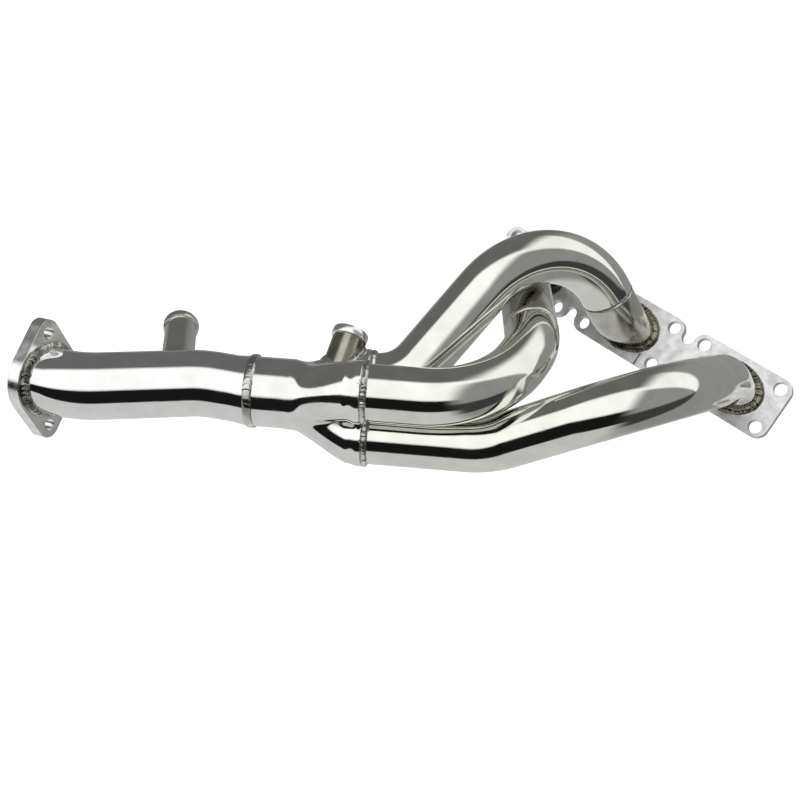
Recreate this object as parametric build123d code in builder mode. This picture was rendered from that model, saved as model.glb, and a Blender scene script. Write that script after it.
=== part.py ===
"""Tubular exhaust manifold: three head ports, three runners, a 3-into-1 collector and an outlet.

Frame, in millimetres: the origin is the middle port's centre on the head mating face.
+X runs along the row of ports, +Y goes into the cylinder head, +Z is up.
"""

import os
from math import cos, pi, radians, sin, tan

from build123d import *

os.makedirs("parts", exist_ok=True)

# ---- Driving dimensions ------------------------------------------------------------------

gap = 0.03  # clearance between a weld bead and the metal that it lies on

# Head flange
port_pitch = 91.0
plate_thickness = 8.0
plate_half_height = 24.0
plate_end_margin = 41.0  # from an end port's centre to the plate's end
plate_corner_radius = 9.0
end_waist_depth = 7.0  # the -X end is cut in between its two stud holes
end_waist_half_height = 12.0
notch_width = 10.0
notch_centre_height = 15.0  # centre of the notch's round bottom above the port line
stud_spacing_x = 64.4
stud_spacing_z = 32.5
stud_hole_radius = 5.0
relief_slit_width = 1.2
relief_slit_offset = 21.0
relief_slit_top = -13.4

# Tubes
runner_radius = 19.05
runner_wall = 1.5
outlet_radius = 22.5
outlet_wall = 1.6
port_half_width = 22.5  # outside half-axes of a tube end formed to the oval port
port_half_height = 15.2
oval_length = 6.0
transition_length = 10.0
seam_clearance = 1.5  # straight tube left between a bend and a welded seam

# Collector
neck_radius = 23.7
waist_radius = 19.5
mouth_radius = 21.0
collector_wall = 1.6
branch_wall = 2.0  # the branches are thicker, so that a slipped-in runner still leaves metal
mouth_length = 9.0
slip_depth = 8.0
mouth_spread = 24.0  # radius of the circle on which the three mouths' centres lie
branch_length = 49.0  # from the mouths back to where the branches leave the round neck
branch_start = 2.0  # how far out from the collector's axis the branches begin
neck_length = 27.0
neck_cone_length = 12.0
neck_cone_drop = 3.2  # how much the cone's radius falls over its length
flare_length = 10.0  # the outlet pipe's end opens out to the neck over this length
flare_land = 3.0  # and stays that wide up to the joint

# Sensor bosses
stem_radius = 11.2
ring_radius = 12.6
ring_height = 6.0
ring_chamfer = 0.8
thread_radius = 8.2
thread_length = 12.0  # from the ring's top down into the stem
boss_bore_radius = 8.9  # below the thread
outlet_boss_height = 71.0  # from the pipe's axis to the ring's lower face
collector_boss_height = 46.0

# Outlet flange
outlet_plate_thickness = 9.0
outlet_plate_radius = 28.0
outlet_ear_radius = 9.0
outlet_bolt_circle = 64.0
outlet_hole_radius = 4.4

# Weld beads
port_bead_width = 4.6
port_bead_height = 4.2
joint_bead = (3.6, 1.0)  # length along the tube and height above it
outlet_bead = (6.0, 1.3)
seam_bead = (2.0, 0.5)
fillet_bead = 3.2
boss_bead = 3.0

# ---- Places that the rest is worked out from ---------------------------------------------

port_centres = [Vector(port_pitch, 0, 0), Vector(0, 0, 0), Vector(-port_pitch, 0, 0)]

# The collector's axis points from the outlet towards the runners.
collector_axis = Vector(0.79, 0.40, 0.464).normalized()
mouth_centre = Vector(-64.5, -188.6, -140.7)
toward_runner_2 = Vector(0.27, -0.907, 0.323)
mouth_plane = Plane(origin=mouth_centre, x_dir=toward_runner_2, z_dir=collector_axis)
mouth_angles = [120, 0, 234]  # runners 1, 2 and 3, round the collector's axis
neck_rise = Vector(-0.55, -0.12, 1.04)  # the neck sits a little above the mouths' common axis
branch_origin = mouth_centre - collector_axis * branch_length + neck_rise
branch_plane = Plane(origin=branch_origin, x_dir=toward_runner_2, z_dir=collector_axis)
neck_plane = branch_plane.offset(-neck_length)

# The outlet plate's face on the pipe side; its axis points along the pipe.
outlet_face_centre = Vector(-225.8, -285.9, -239.5)
outlet_axis = Vector(0.928, 0.100, 0.358).normalized()
toward_upper_hole = Vector(-0.306, -0.339, 0.891)
outlet_plane = Plane(origin=outlet_face_centre, x_dir=toward_upper_hole, z_dir=outlet_axis)


def port_point(index, stand_off):
    """A point on a port's axis, at a distance in front of the head's mating face."""
    return port_centres[index] - Vector(0, stand_off, 0)


def branch_point(index, distance, spread):
    """A point beside the collector's axis, at a distance behind the mouths."""
    angle = radians(mouth_angles[index])
    return mouth_plane.from_local_coords(Vector(spread * cos(angle), spread * sin(angle), -distance))


def between(start, end, fraction):
    return start + (end - start) * fraction


def past_bend(corner, neighbour, opposite, radius):
    """A point on the straight run to a corner's neighbour, just clear of the corner's bend."""
    turn = radians((corner - opposite).get_angle(neighbour - corner))
    reach = radius * tan(turn / 2) + seam_clearance
    return corner + (neighbour - corner).normalized() * reach


# Each centreline is a chain of straight runs; a bend of the given radius rounds each corner.
mouths = [branch_point(index, 0, mouth_spread) for index in range(3)]
slip_ends = [branch_point(index, slip_depth, mouth_spread) for index in range(3)]
stub_starts = [port_point(index, plate_thickness + oval_length + transition_length) for index in range(3)]

lead_outs = [84.0, 82.0, 23.0]  # from each mouth, along the collector's axis, to the first corner
first_corners = [branch_point(index, -lead_outs[index], mouth_spread) for index in range(3)]
runner_1_corners = [first_corners[0], Vector(85.5, -149, -36), port_point(0, 34)]
runner_1_bends = [55, 66, 50]
runner_2_corners = [first_corners[1], Vector(-9.5, -125.5, -50.8), port_point(2, 46)]
runner_2_bends = [72, 65, 40]
runner_3_corners = [first_corners[2], Vector(-53.6, -121, 46.3), port_point(1, 43)]
runner_3_bends = [36, 69, 44]

# Runners 2 and 3 are each made of a tube and an elbow, welded end to end.
seam_2 = past_bend(runner_2_corners[1], runner_2_corners[2], runner_2_corners[0], runner_2_bends[1])
seam_3 = past_bend(runner_3_corners[2], runner_3_corners[1], stub_starts[1], runner_3_bends[2])
seam_2_direction = (runner_2_corners[2] - runner_2_corners[1]).normalized()
seam_3_direction = (runner_3_corners[2] - runner_3_corners[1]).normalized()

outlet_corners = [outlet_face_centre + outlet_axis * 25, Vector(-151.4, -237.6, -187.9)]
outlet_bends = [50, 80]
flare_end = neck_plane.offset(-flare_land)
last_run = (flare_end.origin - outlet_corners[1]).normalized()
flare_start = Plane(origin=flare_end.origin - last_run * flare_length, z_dir=last_run)

# Each boss stands on a pipe's axis at its foot and leans the way that its plane's z points.
outlet_boss_foot = between(outlet_corners[0], outlet_corners[1], 0.774)
outlet_boss_plane = Plane(origin=outlet_boss_foot, z_dir=Vector(-0.753, 0.584, 0.311))
collector_boss_foot = mouth_centre - collector_axis * 26
collector_boss_plane = Plane(origin=collector_boss_foot, z_dir=Vector(-0.417, 0.337, 0.842))


# ---- Shapes that several sub-parts share -------------------------------------------------
# Each is called inside a sub-part's own block and works on that part.


def tube(points, bends, outer, inner=None, mode=Mode.ADD):
    """A round tube, or a round bar when inner is None, along a chain of points."""
    with BuildLine() as centreline:
        if bends:
            FilletPolyline(*points, radius=bends)
        else:
            Line(*points)
    path = centreline.line
    with BuildSketch(Plane(origin=path @ 0, z_dir=path % 0)) as section:
        Circle(outer)
        if inner:
            Circle(inner, mode=Mode.SUBTRACT)
    sweep(sections=section.sketch, path=path, mode=mode)


def oval_bar(index, inset, mode=Mode.ADD):
    """The tube end at a port: round, then oval, then a straight oval length to the plate."""
    start = Plane(origin=stub_starts[index], x_dir=(1, 0, 0), z_dir=(0, 1, 0))
    with BuildSketch(start) as round_end:
        Circle(runner_radius - inset)
    with BuildSketch(start.offset(transition_length)) as oval_end:
        Ellipse(port_half_width - inset, port_half_height - inset)
    loft(sections=[round_end.sketch, oval_end.sketch], mode=mode)
    extrude(oval_end.sketch, amount=oval_length, dir=(0, 1, 0), mode=mode)


def oval_tube_end(index):
    oval_bar(index, 0)
    oval_bar(index, runner_wall, mode=Mode.SUBTRACT)


def branch_bar(index, inset, mode=Mode.ADD):
    """One branch of the collector as a solid bar: it swings out from the neck and widens to its mouth."""
    sections = []
    steps = 6
    swing_length = branch_length - mouth_length - 3
    for step in range(steps + 1):
        swing = step / steps
        ease = (1 - cos(pi * swing)) / 2
        spread = branch_start + (mouth_spread - branch_start) * (0.8 * swing + 0.2 * ease)
        distance = branch_length - swing_length * swing
        plane = Plane(origin=branch_point(index, distance, spread), z_dir=collector_axis)
        with BuildSketch(plane) as section:
            Circle(waist_radius - inset)
        sections.append(section.sketch)
    for distance in (mouth_length, 0):
        plane = Plane(origin=branch_point(index, distance, mouth_spread), z_dir=collector_axis)
        with BuildSketch(plane) as section:
            Circle(mouth_radius - inset)
        sections.append(section.sketch)
    loft(sections=sections[: steps + 1], mode=mode)
    loft(sections=sections[steps : steps + 2], mode=mode)
    loft(sections=sections[steps + 1 :], mode=mode)


def neck_bar(inset, mode=Mode.ADD):
    """The collector's round neck and the cone that runs in between the branches."""
    with BuildSketch(neck_plane) as round_end:
        Circle(neck_radius - inset)
    extrude(round_end.sketch, amount=neck_length, dir=collector_axis, mode=mode)
    with BuildSketch(branch_plane) as wide_end:
        Circle(neck_radius - inset)
    with BuildSketch(branch_plane.offset(neck_cone_length)) as narrow_end:
        Circle(neck_radius - neck_cone_drop - inset)
    loft(sections=[wide_end.sketch, narrow_end.sketch], mode=mode)


def round_bead(plane, radius, length, height):
    """A weld bead round a tube of the given radius, with a half-oval section."""
    profile_plane = Plane(origin=plane.origin, x_dir=plane.x_dir, z_dir=plane.y_dir)
    with BuildSketch(profile_plane) as profile:
        with BuildLine():
            half = length / 2
            EllipticalCenterArc((radius + gap, 0), height, half, start_angle=-90, arc_size=180)
            Line((radius + gap, half), (radius + gap, -half))
        make_face()
    revolve(profile.sketch, axis=Axis(plane.origin, plane.z_dir))


def fillet_ring(plane, radius, size):
    """A sloping weld bead in the corner between a face, which is the plane, and a tube."""
    with BuildSketch(plane) as foot:
        Circle(radius + size)
    extrude(foot.sketch, amount=size, taper=35)
    with BuildSketch(plane) as hole:
        Circle(radius + gap)
    extrude(hole.sketch, amount=size, mode=Mode.SUBTRACT)


def collector_bar(inset, mode=Mode.ADD):
    """The whole collector as a solid bar."""
    neck_bar(inset, mode=mode)
    for index in range(3):
        branch_bar(index, inset, mode=mode)


def outlet_bar(inset, mode=Mode.ADD):
    """The outlet pipe as a solid bar, with its end opened out to the collector's neck."""
    path_points = [outlet_face_centre, *outlet_corners, flare_start.origin]
    tube(path_points, outlet_bends, outlet_radius - inset, mode=mode)
    with BuildSketch(flare_start) as pipe_end:
        Circle(outlet_radius - inset)
    with BuildSketch(flare_end) as wide_end:
        Circle(neck_radius - inset)
    loft(sections=[pipe_end.sketch, wide_end.sketch], mode=mode)
    extrude(wide_end.sketch, amount=flare_land, dir=collector_axis, mode=mode)


def boss_bar(plane, radius, end, mode=Mode.ADD):
    """A round bar along a boss, from the pipe's axis to a height above it."""
    with BuildSketch(plane) as section:
        Circle(radius)
    extrude(section.sketch, amount=end, mode=mode)


def boss_hole(plane, end, mode=Mode.SUBTRACT):
    """The bore along a boss's stem: plain at first, then at the thread's inner radius."""
    boss_bar(plane, thread_radius, end, mode=mode)
    boss_bar(plane, boss_bore_radius, end + ring_height - thread_length, mode=mode)


def finish(builder, label):
    builder.part.label = label
    export_step(builder.part, "parts/" + label + ".step")


# ---- Head flange -------------------------------------------------------------------------

with BuildPart() as head_flange:
    near_face = Plane(origin=(0, -plate_thickness, 0), x_dir=(1, 0, 0), z_dir=(0, -1, 0))
    plate_half_length = port_pitch + plate_end_margin
    notch_depth = plate_half_height - notch_centre_height
    with BuildSketch(near_face):
        Rectangle(2 * plate_half_length, 2 * plate_half_height)
        with GridLocations(port_pitch, 2 * notch_centre_height, 2, 2):
            Circle(notch_width / 2, mode=Mode.SUBTRACT)
        with GridLocations(port_pitch, 2 * (notch_centre_height + notch_depth / 2), 2, 2):
            Rectangle(notch_width, notch_depth, mode=Mode.SUBTRACT)
        outline = vertices().filter_by(lambda corner: abs(abs(corner.Y) - plate_half_height) < 0.01)
        fillet(outline, plate_corner_radius)
        with Locations((-plate_half_length, 0)):
            Ellipse(end_waist_depth, end_waist_half_height, mode=Mode.SUBTRACT)
        with GridLocations(port_pitch, 0, 3, 1):
            Ellipse(port_half_width - runner_wall, port_half_height - runner_wall, mode=Mode.SUBTRACT)
            with GridLocations(stud_spacing_x, stud_spacing_z, 2, 2):
                Circle(stud_hole_radius, mode=Mode.SUBTRACT)
        slit_length = plate_half_height + relief_slit_top
        with Locations((relief_slit_offset, relief_slit_top - slit_length / 2)):
            Rectangle(relief_slit_width, slit_length, mode=Mode.SUBTRACT)
    extrude(amount=-plate_thickness)
finish(head_flange, "head_flange")


# ---- Runners -----------------------------------------------------------------------------

runner_bore = runner_radius - runner_wall

with BuildPart() as runner_1_tube:
    tube([slip_ends[0], *runner_1_corners, stub_starts[0]], runner_1_bends, runner_radius, runner_bore)
    oval_tube_end(0)
finish(runner_1_tube, "runner_1_tube")

with BuildPart() as runner_2_tube:
    tube([slip_ends[1], *runner_2_corners[:2], seam_2], runner_2_bends[:2], runner_radius, runner_bore)
finish(runner_2_tube, "runner_2_tube")

with BuildPart() as runner_2_elbow:
    tube([seam_2, runner_2_corners[2], stub_starts[2]], runner_2_bends[2:], runner_radius, runner_bore)
    oval_tube_end(2)
finish(runner_2_elbow, "runner_2_elbow")

with BuildPart() as runner_3_tube:
    tube([slip_ends[2], *runner_3_corners[:2], seam_3], runner_3_bends[:2], runner_radius, runner_bore)
finish(runner_3_tube, "runner_3_tube")

with BuildPart() as runner_3_elbow:
    tube([seam_3, runner_3_corners[2], stub_starts[1]], runner_3_bends[2:], runner_radius, runner_bore)
    oval_tube_end(1)
finish(runner_3_elbow, "runner_3_elbow")


# ---- Collector and outlet ----------------------------------------------------------------

with BuildPart() as collector:
    collector_bar(0)
    neck_bar(collector_wall, mode=Mode.SUBTRACT)
    for branch in range(3):
        branch_bar(branch, branch_wall, mode=Mode.SUBTRACT)
        tube([slip_ends[branch], mouths[branch]], None, runner_radius + gap, mode=Mode.SUBTRACT)
    boss_hole(collector_boss_plane, collector_boss_height)
finish(collector, "collector")

with BuildPart() as outlet_pipe:
    outlet_bar(0)
    outlet_bar(outlet_wall, mode=Mode.SUBTRACT)
    boss_hole(outlet_boss_plane, outlet_boss_height)
finish(outlet_pipe, "outlet_pipe")

with BuildPart() as outlet_flange:
    with BuildSketch(outlet_plane):
        Circle(outlet_plate_radius)
        with PolarLocations(outlet_bolt_circle / 2, 2):
            Circle(outlet_ear_radius)
        make_hull()
        Circle(outlet_radius - outlet_wall, mode=Mode.SUBTRACT)
        with PolarLocations(outlet_bolt_circle / 2, 2):
            Circle(outlet_hole_radius, mode=Mode.SUBTRACT)
    extrude(amount=-outlet_plate_thickness)
finish(outlet_flange, "outlet_flange")


# ---- Sensor bosses -----------------------------------------------------------------------


def boss_stem(plane, height, carrier_bar):
    """The plain stem of a boss, cut to the outside of the pipe that carries it."""
    boss_bar(plane, stem_radius, height)
    carrier_bar(-gap, mode=Mode.SUBTRACT)
    boss_hole(plane, height)


def boss_ring(plane, height):
    """The threaded ring on top of a boss's stem."""
    with BuildSketch(plane.offset(height)) as section:
        Circle(ring_radius)
        Circle(thread_radius, mode=Mode.SUBTRACT)
    extrude(section.sketch, amount=ring_height)
    chamfer(edges().filter_by(GeomType.CIRCLE).group_by(SortBy.RADIUS)[-1], ring_chamfer)


def boss_foot_bead(plane, height, carrier_bar):
    """The bead round a boss's foot: a thin collar that follows the pipe that carries it."""
    carrier_bar(-boss_bead)
    boss_bar(plane, stem_radius + boss_bead, height, mode=Mode.INTERSECT)
    carrier_bar(-gap, mode=Mode.SUBTRACT)
    boss_bar(plane, stem_radius + gap, height, mode=Mode.SUBTRACT)


with BuildPart() as outlet_boss_stem:
    boss_stem(outlet_boss_plane, outlet_boss_height, outlet_bar)
finish(outlet_boss_stem, "outlet_boss_stem")

with BuildPart() as outlet_boss_ring:
    boss_ring(outlet_boss_plane, outlet_boss_height)
finish(outlet_boss_ring, "outlet_boss_ring")

with BuildPart() as outlet_boss_weld:
    boss_foot_bead(outlet_boss_plane, outlet_boss_height, outlet_bar)
finish(outlet_boss_weld, "outlet_boss_weld")

with BuildPart() as collector_boss_stem:
    boss_stem(collector_boss_plane, collector_boss_height, collector_bar)
finish(collector_boss_stem, "collector_boss_stem")

with BuildPart() as collector_boss_weld:
    boss_foot_bead(collector_boss_plane, collector_boss_height, collector_bar)
finish(collector_boss_weld, "collector_boss_weld")

with BuildPart() as collector_boss_ring:
    boss_ring(collector_boss_plane, collector_boss_height)
finish(collector_boss_ring, "collector_boss_ring")


# ---- Weld beads --------------------------------------------------------------------------

for index in range(3):
    weld_plane = Plane(origin=port_point(index, plate_thickness), x_dir=(1, 0, 0), z_dir=(0, -1, 0))
    with BuildPart() as port_weld:
        with BuildSketch(weld_plane) as foot:
            Ellipse(port_half_width + port_bead_width, port_half_height + port_bead_width)
        with BuildSketch(weld_plane.offset(port_bead_height)) as crest:
            Ellipse(port_half_width + 1, port_half_height + 1)
        loft(sections=[foot.sketch, crest.sketch])
        with BuildSketch(weld_plane) as hole:
            Ellipse(port_half_width + gap, port_half_height + gap)
        extrude(hole.sketch, amount=port_bead_height, mode=Mode.SUBTRACT)
    finish(port_weld, "port_" + str(index + 1) + "_weld")

for index in range(3):
    with BuildPart() as mouth_weld:
        bead_plane = Plane(origin=mouths[index], z_dir=collector_axis).offset(joint_bead[0] / 2)
        round_bead(bead_plane, runner_radius, *joint_bead)
    finish(mouth_weld, "collector_weld_" + str(index + 1))

with BuildPart() as runner_2_weld:
    round_bead(Plane(origin=seam_2, z_dir=seam_2_direction), runner_radius, *seam_bead)
finish(runner_2_weld, "runner_2_weld")

with BuildPart() as runner_3_weld:
    round_bead(Plane(origin=seam_3, z_dir=seam_3_direction), runner_radius, *seam_bead)
finish(runner_3_weld, "runner_3_weld")

with BuildPart() as outlet_joint_weld:
    round_bead(neck_plane, neck_radius, *outlet_bead)
finish(outlet_joint_weld, "outlet_joint_weld")

with BuildPart() as outlet_flange_weld:
    fillet_ring(outlet_plane, outlet_radius, fillet_bead)
finish(outlet_flange_weld, "outlet_flange_weld")
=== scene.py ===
"""Looks for the tubular exhaust manifold: polished tubes, a formed collector, weld beads and plates.

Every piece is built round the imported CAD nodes. Lengths are in metres, in the CAD's own frame.
"""

import random
from math import ceil, cos, pi, radians, sin, sqrt, tau

import bmesh
import bpy
import numpy as np
from mathutils import Matrix, Vector
from mathutils.bvhtree import BVHTree


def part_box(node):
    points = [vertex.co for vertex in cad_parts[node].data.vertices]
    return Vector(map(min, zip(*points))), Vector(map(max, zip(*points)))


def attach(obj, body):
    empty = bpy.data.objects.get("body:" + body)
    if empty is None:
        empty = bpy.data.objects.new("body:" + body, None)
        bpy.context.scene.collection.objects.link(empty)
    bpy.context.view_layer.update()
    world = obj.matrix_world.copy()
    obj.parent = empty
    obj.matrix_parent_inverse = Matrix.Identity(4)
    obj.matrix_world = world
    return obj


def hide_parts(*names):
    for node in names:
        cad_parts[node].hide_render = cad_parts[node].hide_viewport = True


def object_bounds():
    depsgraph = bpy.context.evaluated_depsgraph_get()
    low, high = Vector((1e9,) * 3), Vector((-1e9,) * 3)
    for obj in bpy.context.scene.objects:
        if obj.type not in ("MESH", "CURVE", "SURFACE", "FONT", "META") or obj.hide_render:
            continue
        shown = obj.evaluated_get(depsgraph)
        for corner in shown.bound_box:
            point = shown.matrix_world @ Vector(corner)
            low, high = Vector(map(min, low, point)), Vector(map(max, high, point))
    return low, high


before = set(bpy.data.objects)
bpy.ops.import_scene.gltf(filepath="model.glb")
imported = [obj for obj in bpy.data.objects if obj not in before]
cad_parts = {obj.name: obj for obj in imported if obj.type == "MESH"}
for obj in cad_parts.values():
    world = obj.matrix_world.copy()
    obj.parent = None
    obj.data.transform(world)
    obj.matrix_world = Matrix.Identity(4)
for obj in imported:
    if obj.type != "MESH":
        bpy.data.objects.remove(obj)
cad_low, cad_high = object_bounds()

MM = 0.001

# ---- Sizes that the looks need -----------------------------------------------------------

runner_radius = 19.05 * MM
outlet_radius = 22.5 * MM
tube_wall = 1.5 * MM
faces_around = 96
ring_cell = 0.8 * MM  # vertices of one CAD ring give centres that fall in the same cell
ring_apart = 1.3 * MM  # centres nearer than this are one ring's
ring_count = 12  # a cell with fewer vertices isn't a ring
bend_step = 1.6 * MM  # between a tube's rings along a bend
straight_step = 6.0 * MM
straight_run = 12.0 * MM  # a longer step between the CAD's own rings is a straight run
oval_start = 16.0 * MM  # straight length of a tube end before the plate
oval_reach = 34.0 * MM  # from the plate back to where a tube end starts to turn oval
oval_land = 3.0 * MM  # the last stretch at the plate is fully oval
oval_half_width = 22.5 * MM
oval_half_height = 15.2 * MM
flare_length = 10.0 * MM  # the outlet pipe opens out to the collector's neck over this length
flare_land = 3.0 * MM
flare_reach = 12.9 * MM  # the CAD pipe's rings nearer to the joint than this belong to its flare
flare_radius = 23.7 * MM
heat_reach = 26.0 * MM  # how far a port weld's heat tint runs up a tube
heat_half_width = 45.0 * MM  # and how far to either side of the port
outlet_heat_reach = 36.0 * MM
stem_radius = 11.2 * MM

# The collector.
branch_length = 49.0 * MM  # from the mouths back to where the branches leave the round neck
branch_start = 2.0 * MM  # how far out from the axis the branches begin
branch_end = 11.0 * MM  # the branches run straight over this last stretch
mouth_spread = 24.0 * MM
waist_radius = 19.5 * MM
mouth_radius = 21.0 * MM
mouth_length = 3.0 * MM
mouth_flare = 7.0 * MM  # a branch widens to its mouth over this length
neck_radius = 23.7 * MM
neck_cone_length = 12.0 * MM
neck_cone_drop = 3.2 * MM
collector_wall = 2.0 * MM
collector_step = 0.75 * MM  # grid spacing of the collector's distance field
neck_taper = 0.35  # how fast a branch thins out inside the neck
melt = 1.3 * MM  # how softly the branches run into one another
weld_stand_off = 1.8 * MM  # the collector's weld beads stand this far out from its mouths

# The bosses' rings.
ring_chamfer = 0.8 * MM
thread_pitch = 1.5 * MM
thread_depth = 0.85 * MM
thread_steps = 48
ring_around = 240

# Weld beads, each as width and height.
port_bead = (4.6 * MM, 4.0 * MM)
collector_bead = (4.6 * MM, 2.0 * MM)
polished_seam = (1.4 * MM, 0.25 * MM)
plain_seam = (1.3 * MM, 0.4 * MM)
joint_bead = (6.4 * MM, 1.4 * MM)
outlet_bead = (3.6 * MM, 3.4 * MM)
foot_bead = (3.0 * MM, 2.8 * MM)
corner_root = [(-0.5 * MM, -0.5 * MM)]  # where a corner bead goes below the two surfaces
swell_range = (0.72, 1.15)
shift_range = (-0.5, 0.5)

# Floor.
floor_reach = 3.0
floor_drop = 4.0 * MM

# Where the camera stands, and how it is turned, as in the photograph.
camera_place = Vector((251.7, -771.7, -36.5)) * MM
camera_azimuth = radians(26.83)
camera_elevation = radians(7.81)
camera_roll = radians(31.97)
focal_length = 45.0
sensor_width = 36.0


# ---- Reading shapes from the CAD nodes ---------------------------------------------------


def node_arrays(name):
    """A CAD node's vertices and their normals."""
    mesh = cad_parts[name].data
    points = np.empty(len(mesh.vertices) * 3)
    normals = np.empty(len(mesh.vertices) * 3)
    mesh.vertices.foreach_get("co", points)
    mesh.vertex_normals.foreach_get("vector", normals)
    return points.reshape(-1, 3), normals.reshape(-1, 3)


def ring_frame(name):
    """Centre, axis and inner radius of a CAD node that is a flat ring."""
    points, _ = node_arrays(name)
    centre = points.mean(0)
    axis = np.linalg.svd(points - centre, full_matrices=False)[2][2]
    along = (points - centre) @ axis
    centre = centre + axis * (along.max() + along.min()) / 2
    radial = (points - centre) - np.outer((points - centre) @ axis, axis)
    return Vector(centre), Vector(axis), float(np.linalg.norm(radial, axis=1).min())


def ring_centres(name, radius):
    """The centres of a CAD tube's own rings: each outer vertex, moved one radius inwards."""
    points, normals = node_arrays(name)
    centres = points - normals * radius
    cells = {}
    for centre in centres:
        cells.setdefault(tuple(np.round(centre / ring_cell).astype(int)), []).append(centre)
    found = [(np.mean(group, axis=0), len(group)) for group in cells.values() if len(group) > ring_count]
    merged = []
    for centre, count in sorted(found, key=lambda item: -item[1]):
        if all(np.linalg.norm(centre - other) > ring_apart for other in merged):
            merged.append(centre)
    return merged


def in_order(points):
    """The points as one chain, each followed by its nearest unused neighbour."""
    middle = np.mean(points, axis=0)
    left = sorted(points, key=lambda point: np.linalg.norm(point - middle))
    chain = [left.pop()]
    while left:
        nearest = min(range(len(left)), key=lambda i: np.linalg.norm(left[i] - chain[-1]))
        chain.append(left.pop(nearest))
    return [Vector(point) for point in chain]


def smooth_path(points):
    """A fine path through a tube's ring centres: true arcs on its bends, straight lines between."""
    steps = [b - a for a, b in zip(points, points[1:])]
    tangents = []
    for i in range(len(points)):
        before = steps[i - 1] if i > 0 else None
        after = steps[i] if i < len(steps) else None
        if before is None or after is None:
            tangents.append(None)
        elif before.length > straight_run:
            tangents.append(before.normalized())
        elif after.length > straight_run:
            tangents.append(after.normalized())
        else:
            tangents.append((before / before.length_squared + after / after.length_squared).normalized())
    tangents[0] = end_tangent(steps[0], tangents[1])
    tangents[-1] = end_tangent(steps[-1], tangents[-2])
    path = []
    for i, step in enumerate(steps):
        spacing = straight_step if step.length > straight_run else bend_step
        count = max(1, ceil(step.length / spacing))
        for k in range(count):
            path.append(hermite(points[i], points[i + 1], tangents[i], tangents[i + 1], k / count))
    path.append(points[-1])
    return path


def end_tangent(step, neighbour):
    direction = step.normalized()
    if step.length > straight_run:
        return direction
    return (2 * direction.dot(neighbour) * direction - neighbour).normalized()


def hermite(start, end, start_tangent, end_tangent, t):
    reach = (end - start).length
    a = 2 * t**3 - 3 * t**2 + 1
    b = t**3 - 2 * t**2 + t
    c = -2 * t**3 + 3 * t**2
    d = t**3 - t**2
    return start * a + start_tangent * reach * b + end * c + end_tangent * reach * d


# ---- Building meshes ---------------------------------------------------------------------


def ease(value):
    """A smooth rise from 0 to 1."""
    value = min(1.0, max(0.0, value))
    return value * value * (3 - 2 * value)


def new_piece(name, points, faces, material, heat=None, smooth=True):
    """A mesh object that rides on the manifold's one body."""
    mesh = bpy.data.meshes.new(name)
    mesh.from_pydata([tuple(point) for point in points], [], faces)
    mesh.validate()
    if heat is not None:
        layer = mesh.attributes.new("heat", "FLOAT", "POINT")
        layer.data.foreach_set("value", heat)
    if smooth:
        mesh.shade_smooth()
    mesh.materials.append(material)
    piece = bpy.data.objects.new(name, mesh)
    bpy.context.scene.collection.objects.link(piece)
    outward(mesh)
    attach(piece, "root")
    return piece


def outward(mesh):
    """Turns a closed mesh's faces outwards."""
    work = bmesh.new()
    work.from_mesh(mesh)
    bmesh.ops.recalc_face_normals(work, faces=work.faces)
    work.to_mesh(mesh)
    work.free()


def path_frames(path):
    """At each point of a path: the point, the tangent and two directions across it that never twist."""
    tangents = []
    for i in range(len(path)):
        before = path[max(i - 1, 0)]
        after = path[min(i + 1, len(path) - 1)]
        tangents.append((after - before).normalized())
    side = tangents[0].orthogonal().normalized()
    frames = []
    for i, tangent in enumerate(tangents):
        side = (side - tangent * side.dot(tangent)).normalized()
        frames.append((path[i], tangent, side, tangent.cross(side)))
    return frames


def loop_faces(rings, around):
    """Quads between rings of points that are laid out one after another, closed into a torus."""
    faces = []
    for i in range(rings):
        following = (i + 1) % rings
        for j in range(around):
            beside = (j + 1) % around
            faces.append((i * around + j, i * around + beside, following * around + beside,
                          following * around + j))
    return faces


def tube_piece(name, path, radius_at, material, shape=None, heat_at=None):
    """A tube with an outer and an inner wall and open ends, swept along a path."""
    frames = path_frames(path)
    rings = [(i, 0.0) for i in range(len(frames))]
    rings += [(i, tube_wall) for i in reversed(range(len(frames)))]
    points = []
    heat = []
    for i, inset in rings:
        centre, _, side, up = frames[i]
        for j in range(faces_around):
            angle = tau * j / faces_around
            offset = (side * cos(angle) + up * sin(angle)) * (radius_at(i) - inset)
            point = centre + offset
            if shape:
                point = shape(centre, offset)
            points.append(point)
            heat.append(heat_at(point) if heat_at else 0.0)
    return new_piece(name, points, loop_faces(len(rings), faces_around), material, heat)


def bead(name, spine, section, base, ripples, depth, material, draw):
    """A weld bead along a closed spine of (point, spread, rise): a row of overlapping ripples.

    Section gives the bead's surface across its width, as lengths along spread and rise.
    """
    count = len(spine)
    lengths = [0.0]
    for i in range(count):
        lengths.append(lengths[-1] + (spine[(i + 1) % count][0] - spine[i][0]).length)
    swell = [draw.uniform(*swell_range) for _ in range(ripples)]
    shift = [draw.uniform(*shift_range) for _ in range(ripples)]
    across = len(section)
    points = []
    for i, (centre, spread, rise) in enumerate(spine):
        for j, (out, up) in enumerate(section):
            bow = sin(pi * j / (across - 1))
            phase = (lengths[i] / lengths[count] * ripples + 0.45 * bow) % ripples
            cell = int(phase)
            along = phase - cell
            dome = 4 * along * (1 - along)
            scale = (1 - depth + depth * sqrt(dome)) * (1 + (swell[cell] - 1) * dome)
            sideways = shift[cell] * dome * 0.5 * MM
            points.append(centre + spread * (out * (0.7 + 0.3 * scale) + sideways) + rise * up * scale)
        for out, up in base:
            points.append(centre + spread * out + rise * up)
    ring = across + len(base)
    return new_piece(name, points, loop_faces(count, ring), material)


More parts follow.
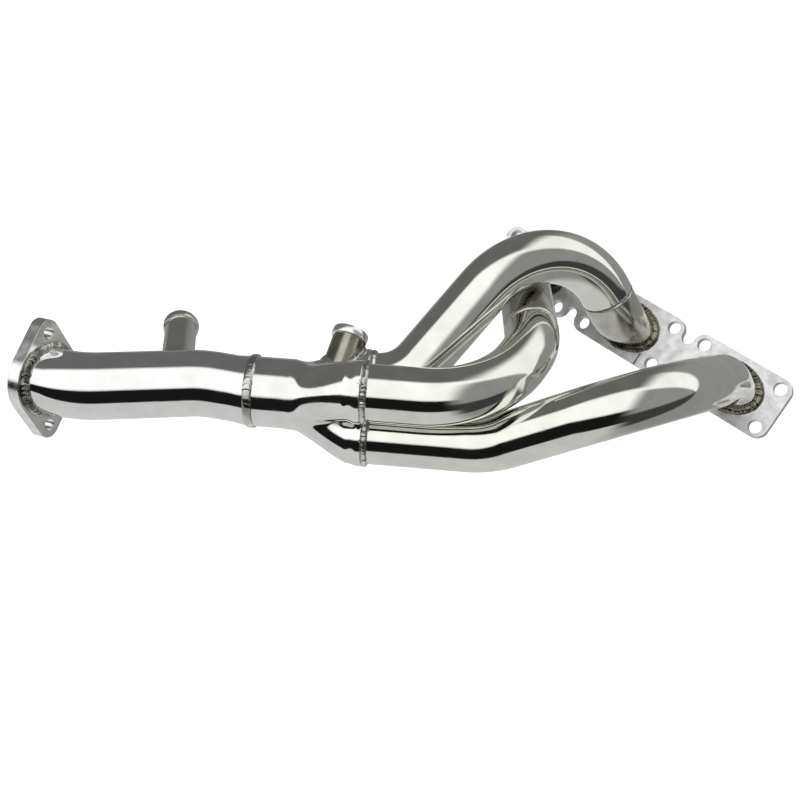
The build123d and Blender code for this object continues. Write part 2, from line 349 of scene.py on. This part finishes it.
def crown(width, height, steps=12):
    """A bead's section over a flush joint."""
    return [(-width / 2 * cos(pi * k / steps), height * sin(pi * k / steps)) for k in range(steps + 1)]


def fillet_section(width, height, steps=12):
    """A bead's section in a corner, from the plate to the tube, a little fuller than a straight slope."""
    return [(width * cos(pi / 2 * k / steps) ** 0.9, height * sin(pi / 2 * k / steps) ** 0.9)
            for k in range(steps + 1)]


def round_spine(centre, axis, radius, count):
    """A circle's points, with the axis as spread and the way out as rise."""
    side = axis.orthogonal().normalized()
    up = axis.cross(side)
    spine = []
    for i in range(count):
        angle = tau * i / count
        out = side * cos(angle) + up * sin(angle)
        spine.append((centre + out * radius, axis, out))
    return spine


def collar_spine(centre, axis, radius, count):
    """A circle's points for a bead in a corner: spread goes outwards, rise goes up the tube."""
    return [(point, out, axis) for point, _, out in round_spine(centre, axis, radius, count)]


def oval_spine(centre, half_width, half_height, count):
    """An oval on the head plate's near face, with the way out as spread and the tube's way as rise."""
    spine = []
    for i in range(count):
        angle = tau * i / count
        point = centre + Vector((half_width * cos(angle), 0, half_height * sin(angle)))
        out = Vector((cos(angle) / half_width, 0, sin(angle) / half_height)).normalized()
        spine.append((point, out, Vector((0, -1, 0))))
    return spine


def foot_spine(carrier, centre, axis, radius, count):
    """Where a boss's stem meets the pipe that carries it, found by looking down the stem's side."""
    mesh = carrier.data
    tree = BVHTree.FromPolygons([v.co for v in mesh.vertices], [p.vertices for p in mesh.polygons])
    spine = []
    for point, _, out in round_spine(centre, axis, radius, count):
        hit, normal, _, _ = tree.ray_cast(point, -axis)
        if hit is None:
            continue
        if normal.dot(axis) < 0:
            normal = -normal
        spread = (out - normal * out.dot(normal)).normalized()
        spine.append((hit, spread, axis))
    return spine


# ---- A skin from a distance field, for the formed collector -------------------------------


def net_skin(field, low, step):
    """A quad mesh where a sampled field changes sign, with a vertex in each cell that it crosses."""
    shape = np.array(field.shape) - 1
    total = np.zeros((*shape, 3))
    hits = np.zeros(shape)
    corners = [(x, y, z) for x in (0, 1) for y in (0, 1) for z in (0, 1)]

    def corner_values(corner):
        x, y, z = corner
        return field[x : x + shape[0], y : y + shape[1], z : z + shape[2]]

    for start in corners:
        for axis in range(3):
            if start[axis]:
                continue
            end = tuple(1 if k == axis else start[k] for k in range(3))
            a = corner_values(start)
            b = corner_values(end)
            crossed = (a < 0) != (b < 0)
            share = np.where(crossed, a / np.where(crossed, a - b, 1.0), 0.0)
            for k in range(3):
                total[..., k] += crossed * (start[k] + (share if k == axis else 0.0))
            hits += crossed
    used = hits > 0
    number = np.full(tuple(shape), -1)
    number[used] = np.arange(used.sum())
    cells = np.argwhere(used)
    points = (cells + total[used] / hits[used][:, None]) * step + low
    faces = []
    for axis in range(3):
        others = [k for k in range(3) if k != axis]
        inner = [slice(1, -1)] * 3
        inner[axis] = slice(0, -1)
        ahead = [slice(1, -1)] * 3
        ahead[axis] = slice(1, None)
        a = field[tuple(inner)]
        b = field[tuple(ahead)]
        for place in np.argwhere((a < 0) != (b < 0)):
            cell = place + 1
            cell[axis] -= 1
            quad = []
            for u, v in ((0, 0), (1, 0), (1, 1), (0, 1)):
                at = cell.copy()
                at[others[0]] -= u
                at[others[1]] -= v
                quad.append(int(number[tuple(at)]))
            faces.append(tuple(quad))
    return points, faces


def collector_field(local, mouth_angles, neck_offset):
    """Distance below zero inside the collector's outside: three branches that melt into a round neck."""
    x, y, station = local[:, 0], local[:, 1], local[:, 2]
    swing = np.clip((station + branch_length) / (branch_length - branch_end), 0, 1)
    eased = (1 - np.cos(pi * swing)) / 2
    spread = branch_start + (mouth_spread - branch_start) * (0.8 * swing + 0.2 * eased)
    flare = np.clip((station + mouth_length + mouth_flare) / mouth_flare, 0, 1)
    flare = flare * flare * (3 - 2 * flare)
    radius = waist_radius + (mouth_radius - waist_radius) * flare
    radius = radius + neck_taper * np.minimum(station + branch_length, 0)
    parts = []
    for angle in mouth_angles:
        parts.append(np.hypot(x - spread * cos(angle), y - spread * sin(angle)) - radius)
    cone = np.clip((station + branch_length) / neck_cone_length, 0, None)
    neck = neck_radius - neck_cone_drop * cone - np.clip(cone - 1, 0, None) * 12 * MM
    parts.append(np.hypot(x - neck_offset[0], y - neck_offset[1]) - neck)
    smooth = 0.0
    for part in parts:
        smooth = smooth + np.exp(-part / melt)
    return -melt * np.log(smooth)


def collector_piece(material):
    """The formed collector: the field's skin, hollow, and open at its four ends."""
    joint, axis, _ = ring_frame("outlet_joint_weld")
    centres = [ring_frame("collector_weld_" + str(index + 1))[0] for index in range(3)]
    middle = circle_centre(*centres)
    if axis.dot(middle - joint) < 0:
        axis = -axis
    length = (middle - joint).dot(axis) - weld_stand_off
    origin = middle - axis * weld_stand_off
    side = (centres[1] - middle).normalized()
    up = axis.cross(side)
    neck_offset = (float((joint - middle).dot(side)), float((joint - middle).dot(up)))
    mouth_angles = []
    for centre in centres:
        away = centre - middle
        mouth_angles.append(float(np.arctan2(away.dot(up), away.dot(side))))
    reach = mouth_spread + mouth_radius + 3 * collector_step
    low = np.array((-reach, -reach, -length - 3 * collector_step))
    counts = [int(2 * reach / collector_step) + 1] * 2
    counts.append(int((length + 6 * collector_step) / collector_step) + 1)
    grid = np.stack(np.meshgrid(*[low[k] + np.arange(counts[k]) * collector_step for k in range(3)],
                                indexing="ij"), -1).reshape(-1, 3)
    outside = collector_field(grid, mouth_angles, neck_offset)
    ends = np.maximum(grid[:, 2], -length - grid[:, 2])
    shell = np.maximum(np.maximum(outside, -outside - collector_wall), ends)
    points, faces = net_skin(shell.reshape(counts), low, collector_step)
    points = settle(points, length, mouth_angles, neck_offset)
    place = np.array((side, up, axis))
    world = points @ place + np.array(origin)
    return new_piece("collector_skin", world, faces, material)


def settle(points, length, mouth_angles, neck_offset):
    """Moves the skin's points exactly on to the outer or the inner surface, except at the ends."""
    small = 0.05 * MM
    edge = np.maximum(points[:, 2], -length - points[:, 2]) > -0.9 * collector_step

    def field(places):
        return collector_field(places, mouth_angles, neck_offset)

    for _ in range(3):
        value = field(points)
        target = np.where(value > -collector_wall / 2, 0.0, -collector_wall)
        slope = np.stack([(field(points + step) - field(points - step)) / (2 * small)
                          for step in np.eye(3) * small], -1)
        change = (target - value) / (slope**2).sum(-1)
        change[edge] = 0
        points = points + slope * change[:, None]
    return points


def circle_centre(a, b, c):
    """The centre of the circle through three points."""
    ab = b - a
    ac = c - a
    normal = ab.cross(ac)
    reach = normal.cross(ab) * ac.length_squared + ac.cross(normal) * ab.length_squared
    return a + reach / (2 * normal.length_squared)


def thread_ring(name, material):
    """A boss's ring with turned edges and a cut thread inside."""
    centre, axis, bore = ring_frame(name)
    points, _ = node_arrays(name)
    along = (points - np.array(centre)) @ np.array(axis)
    half = float(along.max())
    radial = (points - np.array(centre)) - np.outer(along, np.array(axis))
    outer = float(np.linalg.norm(radial, axis=1).max())
    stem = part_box(name.replace("_ring", "_stem"))
    if axis.dot(centre - (stem[0] + stem[1]) / 2) < 0:
        axis = -axis
    side = axis.orthogonal().normalized()
    up = axis.cross(side)
    rim = [(outer - ring_chamfer, half), (outer - ring_chamfer / 3, half - ring_chamfer / 4),
           (outer, half - ring_chamfer), (outer, -half + ring_chamfer),
           (outer - ring_chamfer / 3, -half + ring_chamfer / 4), (outer - ring_chamfer, -half)]
    turns = 2 * half / thread_pitch
    verts = []
    for j in range(ring_around):
        angle = tau * j / ring_around
        out = side * cos(angle) + up * sin(angle)
        for radius, height in rim:
            verts.append(centre + out * radius + axis * height)
        for k in range(thread_steps + 1):
            share = k / thread_steps
            turn = (share * turns + j / ring_around) % 1.0
            cut = min(2 * turn, 2 - 2 * turn, 0.8) / 0.8 * thread_depth
            fade = ease(min(share, 1 - share) * 9)
            verts.append(centre + out * (bore + cut * fade) + axis * (half * (2 * share - 1)))
    ring = len(rim) + thread_steps + 1
    piece = new_piece(name + "_turned", verts, loop_faces(ring_around, ring), material,
                      smooth=False)
    piece.data.shade_smooth()
    piece.data.set_sharp_from_angle(angle=radians(35))
    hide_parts(name)
    return piece


# ---- Materials ---------------------------------------------------------------------------


def node(tree, kind, **values):
    made = tree.nodes.new(kind)
    for key, value in values.items():
        if key in made.inputs:
            made.inputs[key].default_value = value
        else:
            setattr(made, key.lower(), value)
    return made


def noise(tree, scale, detail=3.0, stretch=(1, 1, 1)):
    """A noise pattern in the object's own space, stretched along its axes."""
    place = node(tree, "ShaderNodeTexCoord")
    mapping = node(tree, "ShaderNodeMapping")
    mapping.inputs["Scale"].default_value = stretch
    pattern = node(tree, "ShaderNodeTexNoise", Scale=scale, Detail=detail)
    tree.links.new(place.outputs["Object"], mapping.inputs["Vector"])
    tree.links.new(mapping.outputs["Vector"], pattern.inputs["Vector"])
    return pattern.outputs["Fac"]


def ranged(tree, value, low, high, start=0.0, end=1.0):
    """A value rescaled from start-end to low-high."""
    mapped = node(tree, "ShaderNodeMapRange")
    mapped.inputs["From Min"].default_value = start
    mapped.inputs["From Max"].default_value = end
    mapped.inputs["To Min"].default_value = low
    mapped.inputs["To Max"].default_value = high
    tree.links.new(value, mapped.inputs["Value"])
    return mapped.outputs["Result"]


def ramp(tree, value, stops, interpolation="LINEAR"):
    """A colour ramp; each stop is a place and a colour, or a place and a grey."""
    made = node(tree, "ShaderNodeValToRGB")
    made.color_ramp.interpolation = interpolation
    elements = made.color_ramp.elements
    elements.remove(elements[1])
    for i, (place, colour) in enumerate(stops):
        if not isinstance(colour, tuple):
            colour = (colour, colour, colour)
        element = elements[0] if i == 0 else elements.new(place)
        element.position = place
        element.color = (*colour, 1.0)
    tree.links.new(value, made.inputs["Fac"])
    return made.outputs["Color"]


def metal(name, colours, roughness, bumps, heat=None, bevel=0.0, patches=60.0):
    """A metal with mottled colour, uneven roughness and layers of fine relief.

    Colours and roughness are low-high pairs; each bump is (scale, stretch, height in metres, strength).
    """
    material = bpy.data.materials.new(name)
    material.use_nodes = True
    tree = material.node_tree
    shader = tree.nodes["Principled BSDF"]
    shader.inputs["Metallic"].default_value = 1.0
    mottle = noise(tree, patches, 5.0)
    colour = ramp(tree, mottle, [(0.35, colours[0]), (0.65, colours[1])])
    if heat:
        amount = node(tree, "ShaderNodeAttribute")
        amount.attribute_name = "heat"
        wander = ranged(tree, noise(tree, 220.0, 4.0), -0.12, 0.12)
        total = node(tree, "ShaderNodeMath")
        total.operation = "MULTIPLY_ADD"
        total.inputs[1].default_value = 1.0
        tree.links.new(amount.outputs["Fac"], total.inputs[0])
        tree.links.new(wander, total.inputs[2])
        tint = ramp(tree, total.outputs["Value"], heat)
        mixed = node(tree, "ShaderNodeMix")
        mixed.data_type = "RGBA"
        mixed.blend_type = "MULTIPLY"
        mixed.inputs["Factor"].default_value = 1.0
        tree.links.new(colour, mixed.inputs["A"])
        tree.links.new(tint, mixed.inputs["B"])
        colour = mixed.outputs["Result"]
    tree.links.new(colour, shader.inputs["Base Color"])
    rough = ranged(tree, noise(tree, 150.0, 6.0), *roughness, 0.3, 0.7)
    tree.links.new(rough, shader.inputs["Roughness"])
    normal = None
    if bevel:
        edge = node(tree, "ShaderNodeBevel")
        edge.samples = 6
        edge.inputs["Radius"].default_value = bevel
        normal = edge.outputs["Normal"]
    for scale, stretch, height, strength in bumps:
        relief = node(tree, "ShaderNodeBump")
        relief.inputs["Strength"].default_value = strength
        relief.inputs["Distance"].default_value = height
        tree.links.new(noise(tree, scale, 4.0, stretch), relief.inputs["Height"])
        if normal:
            tree.links.new(normal, relief.inputs["Normal"])
        normal = relief.outputs["Normal"]
    if normal:
        tree.links.new(normal, shader.inputs["Normal"])
    return material


tube_heat = [(0.0, (1.0, 1.0, 1.0)), (0.3, (1.0, 1.0, 1.0)), (0.55, (0.93, 0.88, 0.76)),
             (0.75, (0.66, 0.58, 0.44)), (0.9, (0.25, 0.21, 0.17)), (1.0, (0.08, 0.07, 0.06))]
fine_waves = (26.0, (1, 1, 1), 0.5 * MM, 0.12)
polish_lines = (900.0, (1, 1, 0.15), 0.02 * MM, 0.10)
weld_grain = (900.0, (1, 1, 1), 0.1 * MM, 0.35)
polished = metal("polished_tube", ((0.74, 0.74, 0.69), (0.83, 0.83, 0.78)), (0.04, 0.11),
                 [fine_waves, polish_lines], heat=tube_heat)
bright = metal("polished_outlet", ((0.78, 0.79, 0.77), (0.86, 0.87, 0.85)), (0.035, 0.09),
               [fine_waves, polish_lines], heat=tube_heat)
satin = metal("satin_elbow", ((0.44, 0.43, 0.39), (0.62, 0.61, 0.56)), (0.12, 0.24),
              [fine_waves, polish_lines], heat=tube_heat)
formed = metal("polished_collector", ((0.76, 0.77, 0.74), (0.86, 0.87, 0.84)), (0.05, 0.12),
               [(40.0, (1, 1, 1), 0.6 * MM, 0.14), (1100.0, (0.2, 1, 1), 0.02 * MM, 0.15)])
plate = metal("brushed_plate", ((0.60, 0.60, 0.60), (0.80, 0.80, 0.80)), (0.30, 0.46),
              [(700.0, (0.06, 1, 1), 0.05 * MM, 0.30), (90.0, (1, 1, 1), 0.15 * MM, 0.10)],
              bevel=0.35 * MM, patches=170.0)
bright_plate = metal("ground_plate", ((0.80, 0.80, 0.79), (0.96, 0.96, 0.95)), (0.12, 0.26),
                     [(700.0, (1, 1, 0.06), 0.05 * MM, 0.25), (90.0, (1, 1, 1), 0.15 * MM, 0.12)],
                     bevel=0.5 * MM, patches=110.0)
turned = metal("turned_ring", ((0.70, 0.70, 0.68), (0.86, 0.86, 0.84)), (0.10, 0.20),
               [(1500.0, (1, 1, 1), 0.03 * MM, 0.25)])
bright_turned = metal("bright_turned_ring", ((0.86, 0.86, 0.84), (0.97, 0.97, 0.95)), (0.16, 0.30),
                      [(1500.0, (1, 1, 1), 0.03 * MM, 0.25)])
outlet_stem_steel = metal("outlet_stem_steel", ((0.66, 0.66, 0.61), (0.78, 0.78, 0.72)), (0.08, 0.16),
                          [(600.0, (1, 1, 1), 0.03 * MM, 0.25)])
collector_stem_steel = metal("collector_stem_steel", ((0.26, 0.25, 0.21), (0.46, 0.44, 0.38)), (0.10, 0.20),
                             [(600.0, (1, 1, 1), 0.03 * MM, 0.30)])
silver_weld = metal("silver_weld", ((0.34, 0.34, 0.32), (0.86, 0.86, 0.83)), (0.12, 0.28), [weld_grain])
seam_weld = metal("seam_weld", ((0.05, 0.05, 0.045), (0.30, 0.29, 0.26)), (0.16, 0.30), [weld_grain])
grey_weld = metal("grey_weld", ((0.12, 0.12, 0.10), (0.66, 0.64, 0.57)), (0.14, 0.28), [weld_grain])
dark_weld = metal("dark_weld", ((0.03, 0.03, 0.025), (0.30, 0.28, 0.22)), (0.14, 0.30), [weld_grain])


# ---- The manifold's own pieces -----------------------------------------------------------

draw = random.Random(7)
plate_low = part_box("head_flange")[0]
port_centres = []
for index in range(3):
    weld_low, weld_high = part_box("port_" + str(index + 1) + "_weld")
    weld_middle = (weld_low + weld_high) / 2
    port_centres.append(Vector((weld_middle.x, plate_low.y, weld_middle.z)))


def to_oval(centre, offset):
    """Turns a round section near the head plate into the port's oval."""
    share = ease((centre.y - (plate_low.y - oval_reach)) / (oval_reach - oval_land))
    wide = 1 + (oval_half_width / runner_radius - 1) * share
    tall = 1 + (oval_half_height / runner_radius - 1) * share
    return centre + Vector((offset.x * wide, offset.y, offset.z * tall))


def port_heat(port):
    """A function that gives the heat tint near one port's weld."""

    def heat_at(point):
        if abs(point.x - port_centres[port].x) > heat_half_width:
            return 0.0
        return 1 - min(1.0, max(0.0, (plate_low.y - point.y) / heat_reach))

    return heat_at


for name, port in (("runner_1_tube", 0), ("runner_2_elbow", 2), ("runner_3_elbow", 1)):
    chain = in_order(ring_centres(name, runner_radius))
    if (chain[0] - port_centres[port]).length < (chain[-1] - port_centres[port]).length:
        chain.reverse()
    chain = [point for point in chain if point.y < plate_low.y - oval_start]
    end = port_centres[port]
    begin = end - Vector((0, oval_start, 0))
    path = smooth_path([*chain, begin]) + [begin.lerp(end, k / 10) for k in range(1, 11)]
    material = polished if port == 0 else satin
    piece = tube_piece(name + "_skin", path, lambda i: runner_radius, material, to_oval,
                       port_heat(port))
    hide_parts(name)

for name in ("runner_2_tube", "runner_3_tube"):
    path = smooth_path(in_order(ring_centres(name, runner_radius)))
    piece = tube_piece(name + "_skin", path, lambda i: runner_radius, polished)
    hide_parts(name)

collector_skin = collector_piece(formed)
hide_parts("collector")

joint_centre, joint_axis, _ = ring_frame("outlet_joint_weld")
flange_centre, flange_axis, _ = ring_frame("outlet_flange_weld")
pipe_chain = in_order([c for c in ring_centres("outlet_pipe", outlet_radius)
                       if np.linalg.norm(c - np.array(joint_centre)) > flare_reach])
if (pipe_chain[0] - joint_centre).length < (pipe_chain[-1] - joint_centre).length:
    pipe_chain.reverse()
pipe_path = smooth_path([*pipe_chain, joint_centre])


def outlet_size(i):
    """The outlet pipe's radius at a ring: wider towards the collector."""
    left = (pipe_path[i] - joint_centre).length
    return outlet_radius + (flare_radius - outlet_radius) * ease(1 - (left - flare_land) / flare_length)


def outlet_heat(point):
    """How much heat tint the outlet weld leaves at a point of the pipe."""
    away = (point - flange_centre).length / outlet_heat_reach
    return 0.9 - away * 0.6 if away < 1 else 0.0



outlet_skin = tube_piece("outlet_pipe_skin", pipe_path, outlet_size, bright, None, outlet_heat)
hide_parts("outlet_pipe")

shown_nodes = (("head_flange", plate), ("outlet_flange", bright_plate),
               ("outlet_boss_stem", outlet_stem_steel), ("collector_boss_stem", collector_stem_steel))
for name, material in shown_nodes:
    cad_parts[name].data.materials.clear()
    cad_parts[name].data.materials.append(material)
thread_ring("outlet_boss_ring", turned)
thread_ring("collector_boss_ring", bright_turned)

for index in range(3):
    name = "port_" + str(index + 1) + "_weld"
    spine = oval_spine(port_centres[index], oval_half_width, oval_half_height, 560)
    piece = bead(name + "_ripples", spine, fillet_section(*port_bead), corner_root, 52, 0.2, dark_weld,
                 draw)
    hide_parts(name)

for index in range(3):
    name = "collector_weld_" + str(index + 1)
    centre, axis, radius = ring_frame(name)
    spine = round_spine(centre, axis, radius, 600)
    sunk = [(2.0 * MM, -0.4 * MM), (-2.0 * MM, -0.4 * MM)]
    piece = bead(name + "_ripples", spine, crown(*collector_bead), sunk, 44, 0.22, silver_weld, draw)
    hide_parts(name)

seams = (("runner_2_weld", polished_seam, polished), ("runner_3_weld", plain_seam, seam_weld))
for name, size, material in seams:
    centre, axis, radius = ring_frame(name)
    spine = round_spine(centre, axis, radius, 600)
    sunk = [(0.6 * MM, -0.3 * MM), (-0.6 * MM, -0.3 * MM)]
    piece = bead(name + "_ripples", spine, crown(*size), sunk, 70, 0.25, material, draw)
    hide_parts(name)

spine = round_spine(joint_centre, joint_axis, flare_radius, 640)
sunk = [(2.6 * MM, -0.4 * MM), (-2.6 * MM, -0.4 * MM)]
piece = bead("outlet_joint_ripples", spine, crown(*joint_bead), sunk, 34, 0.22, silver_weld, draw)
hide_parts("outlet_joint_weld")

if flange_axis.dot(joint_centre - flange_centre) < 0:
    flange_axis = -flange_axis
weld_points, _ = node_arrays("outlet_flange_weld")
weld_heights = (weld_points - np.array(flange_centre)) @ np.array(flange_axis)
flange_face = flange_centre + flange_axis * float(weld_heights.min())
spine = collar_spine(flange_face, flange_axis, outlet_radius, 600)
piece = bead("outlet_flange_ripples", spine, fillet_section(*outlet_bead), corner_root, 44, 0.28, grey_weld,
             draw)
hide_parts("outlet_flange_weld")

for prefix, carrier in (("outlet_boss", outlet_skin), ("collector_boss", collector_skin)):
    ring_centre, ring_axis, _ = ring_frame(prefix + "_ring")
    stem_low, stem_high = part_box(prefix + "_stem")
    if ring_axis.dot(ring_centre - (stem_low + stem_high) / 2) < 0:
        ring_axis = -ring_axis
    spine = foot_spine(carrier, ring_centre, ring_axis, stem_radius, 420)
    piece = bead(prefix + "_foot_ripples", spine, fillet_section(*foot_bead), corner_root, 26, 0.28,
                 silver_weld, draw)
    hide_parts(prefix + "_weld")


# ---- Floor, light and camera -------------------------------------------------------------

floor_mesh = bpy.data.meshes.new("floor")
floor_z = cad_low.z - floor_drop
floor_corners = [(x * floor_reach, y * floor_reach, floor_z) for x, y in ((-1, -1), (1, -1), (1, 1), (-1, 1))]
floor_mesh.from_pydata(floor_corners, [], [(0, 1, 2, 3)])
floor = bpy.data.objects.new("floor", floor_mesh)
bpy.context.scene.collection.objects.link(floor)
floor_material = bpy.data.materials.new("pale_floor")
floor_material.use_nodes = True
floor_tree = floor_material.node_tree
floor_shader = floor_tree.nodes["Principled BSDF"]
floor_shader.inputs["Roughness"].default_value = 0.9
floor_shader.inputs["Emission Strength"].default_value = 0.55
floor_tree.links.new(ramp(floor_tree, noise(floor_tree, 8.0), [(0.0, 0.90), (1.0, 0.93)]),
                     floor_shader.inputs["Base Color"])
floor_shader.inputs["Emission Color"].default_value = (1, 1, 1, 1)
floor_mesh.materials.append(floor_material)
floor.visible_glossy = False

across = Vector((cos(camera_azimuth), sin(camera_azimuth), 0))
view = Vector((-sin(camera_azimuth) * cos(camera_elevation), cos(camera_azimuth) * cos(camera_elevation),
               -sin(camera_elevation)))
lift = across.cross(view)
right = across * cos(camera_roll) + lift * sin(camera_roll)
up = lift * cos(camera_roll) - across * sin(camera_roll)

# The studio, as the polished metal sees it: a grey room with a few plain lights and cards. Each one
# is (height, half height, soft edge, brightness). Heights are degrees above the way to the camera.
room_brightness = 0.3
pale_table = (-120, 60, 8, 0.65)
black_card = (-40, 20, 4, 0.01)
key_box = (20, 30, 12, 1.2)
dim_ceiling = (100, 40, 15, 0.15)
side_card = (-60, 20, 10, 0.05)
side_box = (75, 25, 10, 1.1)
side_start = 0.2  # how far a ray points to the picture's right where the side's lights come in
side_full = 0.5
world = bpy.data.worlds.new("studio")
bpy.context.scene.world = world
world.use_nodes = True
sky = world.node_tree
background = sky.nodes["Background"]
coordinates = node(sky, "ShaderNodeTexCoord")


def along(direction):
    """How far a ray points along a direction."""
    product = node(sky, "ShaderNodeVectorMath")
    product.operation = "DOT_PRODUCT"
    product.inputs[1].default_value = direction
    sky.links.new(coordinates.outputs["Generated"], product.inputs[0])
    return product.outputs["Value"]


height = node(sky, "ShaderNodeMath")
height.operation = "ARCTAN2"
sky.links.new(along(up), height.inputs[0])
sky.links.new(along(-view), height.inputs[1])
turn = ranged(sky, height.outputs["Value"], -180, 180, -pi, pi)


def softly(value, start, end, low, high):
    """A smooth change from low to high as a value goes from start to end."""
    share = node(sky, "ShaderNodeMapRange")
    share.interpolation_type = "SMOOTHSTEP"
    share.inputs["From Min"].default_value = start
    share.inputs["From Max"].default_value = end
    share.inputs["To Min"].default_value = low
    share.inputs["To Max"].default_value = high
    sky.links.new(value, share.inputs["Value"])
    return share.outputs["Result"]


def lit(base, light):
    """The set with one more light or card in it."""
    middle, half, soft, brightness = light
    away = node(sky, "ShaderNodeMath")
    away.operation = "SUBTRACT"
    away.inputs[1].default_value = middle
    sky.links.new(turn, away.inputs[0])
    distance = node(sky, "ShaderNodeMath")
    distance.operation = "ABSOLUTE"
    sky.links.new(away.outputs["Value"], distance.inputs[0])
    mixed = node(sky, "ShaderNodeMix")
    mixed.data_type = "RGBA"
    mixed.inputs["B"].default_value = (brightness, brightness, brightness, 1)
    sky.links.new(softly(distance.outputs["Value"], half, half + soft, 1, 0), mixed.inputs["Factor"])
    sky.links.new(base, mixed.inputs["A"])
    return mixed.outputs["Result"]


room = node(sky, "ShaderNodeRGB")
room.outputs["Color"].default_value = (room_brightness, room_brightness, room_brightness, 1)
front = room.outputs["Color"]
for light in (pale_table, dim_ceiling, key_box, black_card):
    front = lit(front, light)
side = room.outputs["Color"]
for light in (side_card, side_box):
    side = lit(side, light)
studio_mix = node(sky, "ShaderNodeMix")
studio_mix.data_type = "RGBA"
sky.links.new(softly(along(right), side_start, side_full, 0, 1), studio_mix.inputs["Factor"])
sky.links.new(front, studio_mix.inputs["A"])
sky.links.new(side, studio_mix.inputs["B"])
studio = studio_mix.outputs["Result"]
rays = node(sky, "ShaderNodeLightPath")
for_metal = node(sky, "ShaderNodeMix")
for_metal.data_type = "RGBA"
for_metal.inputs["A"].default_value = (0.85, 0.85, 0.86, 1)
sky.links.new(rays.outputs["Is Glossy Ray"], for_metal.inputs["Factor"])
sky.links.new(studio, for_metal.inputs["B"])
for_all = node(sky, "ShaderNodeMix")
for_all.data_type = "RGBA"
for_all.inputs["B"].default_value = (1.05, 1.05, 1.05, 1)
sky.links.new(rays.outputs["Is Camera Ray"], for_all.inputs["Factor"])
sky.links.new(for_metal.outputs["Result"], for_all.inputs["A"])
sky.links.new(for_all.outputs["Result"], background.inputs["Color"])

lens = bpy.data.cameras.new("camera")
lens.lens = focal_length
lens.sensor_width = sensor_width
lens.clip_start = 0.01
camera = bpy.data.objects.new("camera", lens)
camera.matrix_world = Matrix((
    (right.x, up.x, -view.x, camera_place.x),
    (right.y, up.y, -view.y, camera_place.y),
    (right.z, up.z, -view.z, camera_place.z),
    (0, 0, 0, 1),
))
bpy.context.scene.collection.objects.link(camera)
bpy.context.scene.camera = camera
bpy.context.scene.view_settings.view_transform = "Standard"
bpy.context.scene.view_settings.look = "None"
